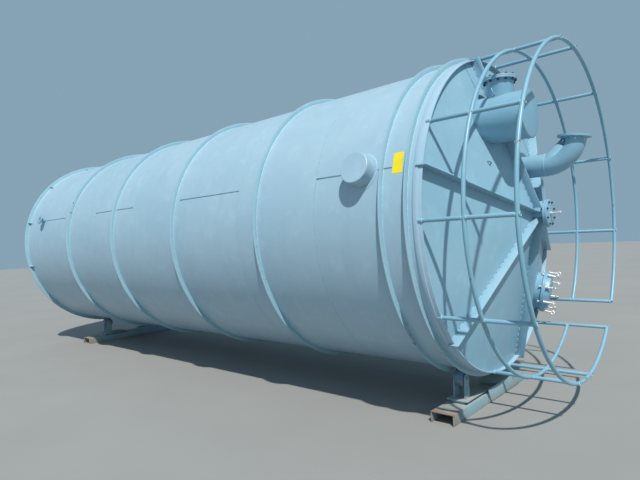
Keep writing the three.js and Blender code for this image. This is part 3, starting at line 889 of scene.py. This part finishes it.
def fill_flange():
    """A flange ring from X = 0 with open bolt holes."""
    bm = bmesh.new()
    for r in (FILL_R - WALL, FILL_RIM):
        bmesh.ops.create_circle(bm, segments=96, radius=r)
    for a in ring_of(8):
        place = shift(FILL_PITCH * math.cos(a), FILL_PITCH * math.sin(a))
        bmesh.ops.create_circle(bm, segments=20, radius=FILL_HOLE, matrix=place)
    bmesh.ops.triangle_fill(bm, use_beauty=True, edges=bm.edges[:])
    raised = bmesh.ops.extrude_face_region(bm, geom=bm.faces[:])
    top = [v for v in raised["geom"] if isinstance(v, bmesh.types.BMVert)]
    bmesh.ops.translate(bm, verts=top, vec=(0, 0, FILL_FLANGE))
    bmesh.ops.recalc_face_normals(bm, faces=bm.faces)
    moved(bm, Matrix.Rotation(math.pi / 2, 4, "Y"))
    return soften(bm, FINE_EDGE, 1, 60)


def at_bend_end():
    turn = math.radians(FILL_TURN)
    end = FILL + Vector((FILL_BEND * math.sin(turn), 0, FILL_BEND * (1 - math.cos(turn))))
    return Matrix.Translation(end) @ Matrix.Rotation(-turn, 4, "Y")


def fill_elbow():
    bm = bmesh.new()
    for r in (FILL_R, FILL_R - WALL):
        bmesh.ops.create_circle(bm, segments=96, radius=r)
    moved(bm, Matrix.Translation(FILL) @ Matrix.Rotation(math.pi / 2, 4, "Y"))
    centre = FILL + Vector((0, 0, FILL_BEND))
    bmesh.ops.spin(bm, geom=bm.verts[:] + bm.edges[:], cent=centre, axis=(0, 1, 0),
                   angle=-math.radians(FILL_TURN), steps=40)
    bmesh.ops.bridge_loops(bm, edges=open_edges(bm))
    bmesh.ops.recalc_face_normals(bm, faces=bm.faces)
    return bm


# Manhole, made along +X and set square to the cone

def manhole():
    place = on_cone(*MANHOLE)
    bore = MANHOLE_R - WALL
    back, front = MANHOLE_FLANGE
    neck = turned([(MANHOLE_ROOT, bore), (MANHOLE_ROOT, MANHOLE_R), (back, MANHOLE_R), (back, MANHOLE_RIM),
                   (front, MANHOLE_RIM), (front, bore)], 96)
    soften(neck, EDGE, 2)
    finished(moved(neck, place), "manhole_collar", NOZZLE_PAINT, nodes=["manhole_neck"])
    low = front + GAP
    outline = [(low, 0), (low, MANHOLE_RIM), (LID_DOME[0][0], MANHOLE_RIM), *LID_DOME, (LID_DOME[-1][0], 0)]
    lid = turned(outline, 96, closed=False)
    soften(lid, EDGE, 2)
    finished(moved(lid, place), "manhole_lid", NOZZLE_PAINT, nodes=["manhole_cover"])
    spots = []
    for a, spread in zip(ring_of(8), BOLT_SPREADS):
        lean = Matrix.Rotation(math.radians(spread), 4, "Z")
        spots.append(place @ Matrix.Rotation(a, 4, "X") @ shift(*BOLT_PIVOT) @ lean)
    finished(repeated(swing_bolt, spots), "swing_bolts", ZINC)


def swing_bolt():
    """Eye bolt in the rim's slot: pivot behind the flange, ring nut in front of the lid."""
    rod = disc(0, BOLT_LONG, BOLT_R, 16)
    washer = disc(*BOLT_WASHER, 24)
    collar = disc(*BOLT_COLLAR, 20)
    eye = moved(bolt_eye(), shift(BOLT_LONG + 0.012))
    pin = moved(disc(*BOLT_PIN, 14), Matrix.Rotation(math.pi / 2, 4, "Z"))
    return joined(rod, washer, collar, eye, pin)


def bolt_eye():
    """A round rod bent into a full ring in the XY plane."""
    bm = bmesh.new()
    bmesh.ops.create_circle(bm, segments=12, radius=EYE_ROD)
    moved(bm, shift(EYE_R) @ Matrix.Rotation(math.pi / 2, 4, "X"))
    bmesh.ops.spin(bm, geom=bm.verts[:] + bm.edges[:], cent=(0, 0, 0), axis=(0, 0, 1), angle=2 * math.pi,
                   steps=28, use_merge=True)
    bmesh.ops.remove_doubles(bm, verts=bm.verts, dist=1e-6)
    bmesh.ops.recalc_face_normals(bm, faces=bm.faces)
    return bm


# Guard rail

def hoop(x, start, end):
    bm = bmesh.new()
    bmesh.ops.create_circle(bm, segments=20, radius=RAIL_R)
    moved(bm, spin_to(start) @ shift(x, -RAIL_RING, 0))
    bmesh.ops.spin(bm, geom=bm.verts[:] + bm.edges[:], cent=(0, 0, 0), axis=(1, 0, 0),
                   angle=-math.radians(end - start), steps=220)
    return closed_up(bm)


def post(angle):
    """Pipe standing on the end of the lip, its outer side lapped over it."""
    rod = disc(LIP_END + SLIP, HOOP_X[1], RAIL_R, 24)
    soften(rod, 0.003, 2, 50)
    lap = disc(LIP_STEP + SLIP, LIP_END + 0.004, RAIL_R, 24)
    depth = LIP_THIN + SLIP - RAIL_RING
    bmesh.ops.bisect_plane(lap, geom=everything(lap), plane_co=(0, -depth, 0), plane_no=(0, 1, 0),
                           clear_outer=True)
    closed_up(lap)
    return moved(joined(rod, lap), spin_to(angle) @ shift(0, -RAIL_RING, 0))


def post_welds(angle):
    x0 = LIP_END + SLIP
    low = RAIL_R - 0.001
    high = RAIL_R + 0.003
    shapes = [turned([(x0, RAIL_R + 0.005), (x0 + 0.003, high), (x0 + 0.007, low), (x0, low)], 28)]
    for x in HOOP_X:
        for side in (-1, 1):
            bead = [(x + side * 0.014, low), (x + side * 0.018, high), (x + side * 0.023, low)]
            shapes.append(turned(bead, 28))
    return moved(joined(*shapes), spin_to(angle) @ shift(0, -RAIL_RING, 0))


def guard_rail():
    shapes = [hoop(x, *GATE) for x in HOOP_X] + [post(a) for a in POST_ANGLES]
    finished(joined(*shapes), "rail_pipes", RAIL_PAINT, nodes=["guard_rail"])
    finished(joined(*[post_welds(a) for a in POST_ANGLES]), "rail_welds", WELD)


# Nozzles on the shell and the label plate

def shell_nozzle():
    """The closed nozzle, and its pad, a tall ring whose two ends are laid on the shell."""
    place = outwards(*STUB)
    outline = [(STUB_ROOT, STUB_R), (STUB_TOP - 0.005, STUB_R), (STUB_TOP, STUB_R - 0.005), (STUB_TOP, 0)]
    body = turned(outline, 96, closed=False)
    finished(moved(body, place), "closed_stub", SHELL_PAINT, nodes=["shell_nozzle"])
    pad = moved(tube(SHELL_R - 0.1, SHELL_R + 0.1, STUB_R + 0.0005, PAD_R, 96), place)
    for v in pad.verts:
        across = Vector((0, v.co.y, v.co.z))
        reach = SHELL_R + (PAD_THICK if across.length > SHELL_R else GAP)
        v.co.yz = across.yz.normalized() * reach
    bmesh.ops.recalc_face_normals(pad, faces=pad.faces)
    soften(pad, 0.002, 2, 50)
    finished(pad, "stub_pad", SHELL_PAINT, nodes=["nozzle_pad"])


def skirt_nozzle():
    back = SIDE_END - SIDE_FLANGE
    outline = [(SIDE_ROOT, SIDE_BORE), (SIDE_ROOT, SIDE_R), (back, SIDE_R), (back, SIDE_RIM),
               (SIDE_END, SIDE_RIM), (SIDE_END, SIDE_BORE)]
    bm = turned(outline, 64)
    soften(bm, FINE_EDGE, 2)
    finished(moved(bm, outwards(*SIDE_NOZZLE)), "side_branch", NOZZLE_PAINT, nodes=["skirt_nozzle"])


def label_plate():
    """A sheet bent to the shell, cut out of a full ring."""
    x0, x1, start, end = LABEL
    low = SHELL_R + GAP
    bm = tube(x0, x1, low, low + LABEL_THICK, 360)
    for angle, keep in ((start, 1), (end, -1)):
        normal = spin_to(angle) @ Vector((0, 0, 1))
        bmesh.ops.bisect_plane(bm, geom=everything(bm), plane_co=(0, 0, 0), plane_no=normal * keep,
                               clear_inner=True)
    bmesh.ops.bisect_plane(bm, geom=everything(bm), plane_co=(0, 0, 0), plane_no=(0, 1, 0),
                           clear_outer=True)
    finished(closed_up(bm), "yellow_label", YELLOW, nodes=["label_plate"])


# Roller stands

def bracket_plate(x):
    """Upright plate with a rounded top round the axle."""
    r = BRACKET_R
    foot = SOLE[1] - 0.001 - ROLLER_Z
    outline = [(-r - 0.006, foot), (r + 0.006, foot)]
    outline += [(r * math.cos(a), r * math.sin(a)) for a in [math.pi * i / 16 for i in range(17)]]
    bm = plate(outline, BRACKET_THICK)
    soften(bm, FINE_EDGE, 1, 60)
    return moved(bm, shift(x) @ Matrix.Rotation(math.pi / 2, 4, "Z"))


def bracket(x, side, name):
    """Two uprights on a sole, with a packer between it and the beam."""
    place = shift(0, side * ROLLER_Y, ROLLER_Z)
    sides = [moved(bracket_plate(x + way * BRACKET_AT), place) for way in (-1, 1)]
    y0, y1 = sorted(side * y for y in BRACKET_SPAN)
    sole = soften(bar((x - SOLE_HALF, x + SOLE_HALF), (y0, y1), SOLE), EDGE, 2)
    between = (BEAM_TOP + GAP, SOLE[0] + 0.0005)
    packer = soften(bar((x - PACKER_HALF, x + PACKER_HALF), (y0 + 0.02, y1 - 0.02), between), EDGE, 2)
    finished(joined(*sides, sole, packer), name.replace("bracket", "chair"), CHANNEL, nodes=[name])


def roller(x, side, name):
    tread = ROLLER_R - ROLLER_EDGE
    flat = ROLLER_HALF - ROLLER_EDGE
    half = [(flat, ROLLER_R), (ROLLER_HALF, tread), (ROLLER_HALF, AXLE_R), (AXLE_HALF, AXLE_R),
            (AXLE_HALF, 0)]
    wheel = turned([(-at, r) for at, r in reversed(half)] + half, 72, closed=False)
    soften(wheel, 0.001, 2)
    finished(moved(wheel, shift(x, side * ROLLER_Y, ROLLER_Z)), name.replace("roller", "wheel"), TREAD,
             body=name, nodes=[name])


def cross_beam(x, name):
    """Channel lying web up, with rounded corners, and a face plate on its roof side."""
    inner = BEAM_HALF - BEAM_THICK
    under = BEAM_TOP - BEAM_THICK
    outline = [(-BEAM_HALF, FLOOR), (-BEAM_HALF, BEAM_TOP), (BEAM_HALF, BEAM_TOP), (BEAM_HALF, FLOOR),
               (inner, FLOOR), (inner, under), (-inner, under), (-inner, FLOOR)]
    bm = plate(outline, 2 * BEAM_REACH)
    soften(bm, 0.003, 3)
    face = soften(bar((BEAM_HALF - 0.0005, BEAM_HALF + FACE_THICK), *FACE_PLATE), EDGE, 2)
    channel = moved(joined(bm, face), shift(x))
    finished(channel, name.replace("beam", "channel"), CHANNEL, nodes=[name])


def stands():
    for name, x in STANDS:
        cross_beam(x, f"{name}_stand_beam")
        for word, side in (("near", -1), ("far", 1)):
            bracket(x, side, f"{name}_bracket_{word}")
            roller(x, side, f"{name}_roller_{word}")


# Camera, light and floor

def camera():
    data = bpy.data.cameras.new("view")
    data.sensor_width = 36
    data.lens = LENS
    data.clip_end = 200
    obj = bpy.data.objects.new("view", data)
    obj.matrix_world = Matrix.Translation(ORIGIN + CAMERA_AT) @ CAMERA_TURN.transposed().to_4x4()
    bpy.context.scene.collection.objects.link(obj)
    bpy.context.scene.camera = obj


def lamp(name, kind, place, aim, energy, size, color):
    """A light at a place, turned to its aim. The size is an angle for the sun and metres for a disc."""
    data = bpy.data.lights.new(name, kind)
    data.energy = energy
    data.color = color
    if kind == "SUN":
        data.angle = size
    else:
        data.shape = "DISK"
        data.size = size
    obj = bpy.data.objects.new(name, data)
    obj.location = place
    obj.rotation_euler = (Vector(aim) - Vector(place)).to_track_quat("-Z", "Y").to_euler()
    bpy.context.scene.collection.objects.link(obj)


def studio():
    lamp("key", "SUN", place=(4.7, -4.2, 7.8), aim=(0, 0, 0), energy=4.3, size=math.radians(1.2),
         color=(1.0, 0.965, 0.9))
    lamp("fill", "AREA", place=(9, -10, 5), aim=(0, 0, 1.5), energy=60, size=8, color=(0.9, 0.95, 1.0))
    world = bpy.data.worlds.new("studio")
    world.use_nodes = True
    back = world.node_tree.nodes["Background"]
    back.inputs["Color"].default_value = (0.52, 0.79, 1.0, 1)
    back.inputs["Strength"].default_value = 0.46
    bpy.context.scene.world = world
    bpy.context.scene.view_settings.view_transform = "Standard"
    bm = bmesh.new()
    bmesh.ops.create_grid(bm, x_segments=1, y_segments=1, size=60)
    mesh = bpy.data.meshes.new("floor")
    bm.to_mesh(mesh)
    bm.free()
    mesh.materials.append(pale_floor("pale_floor"))
    floor = bpy.data.objects.new("floor", mesh)
    bpy.context.scene.collection.objects.link(floor)


camera()
studio()
shell()
shell_welds()
stiffening_rings()
rim()
base_end()
discharge_end()
roof_plate()
roof_seams()
ribs()
centre_nozzle()
vent_drum()
branch()
branch_grip()
fill_pipe()
manhole()
guard_rail()
shell_nozzle()
skirt_nozzle()
label_plate()
stands()
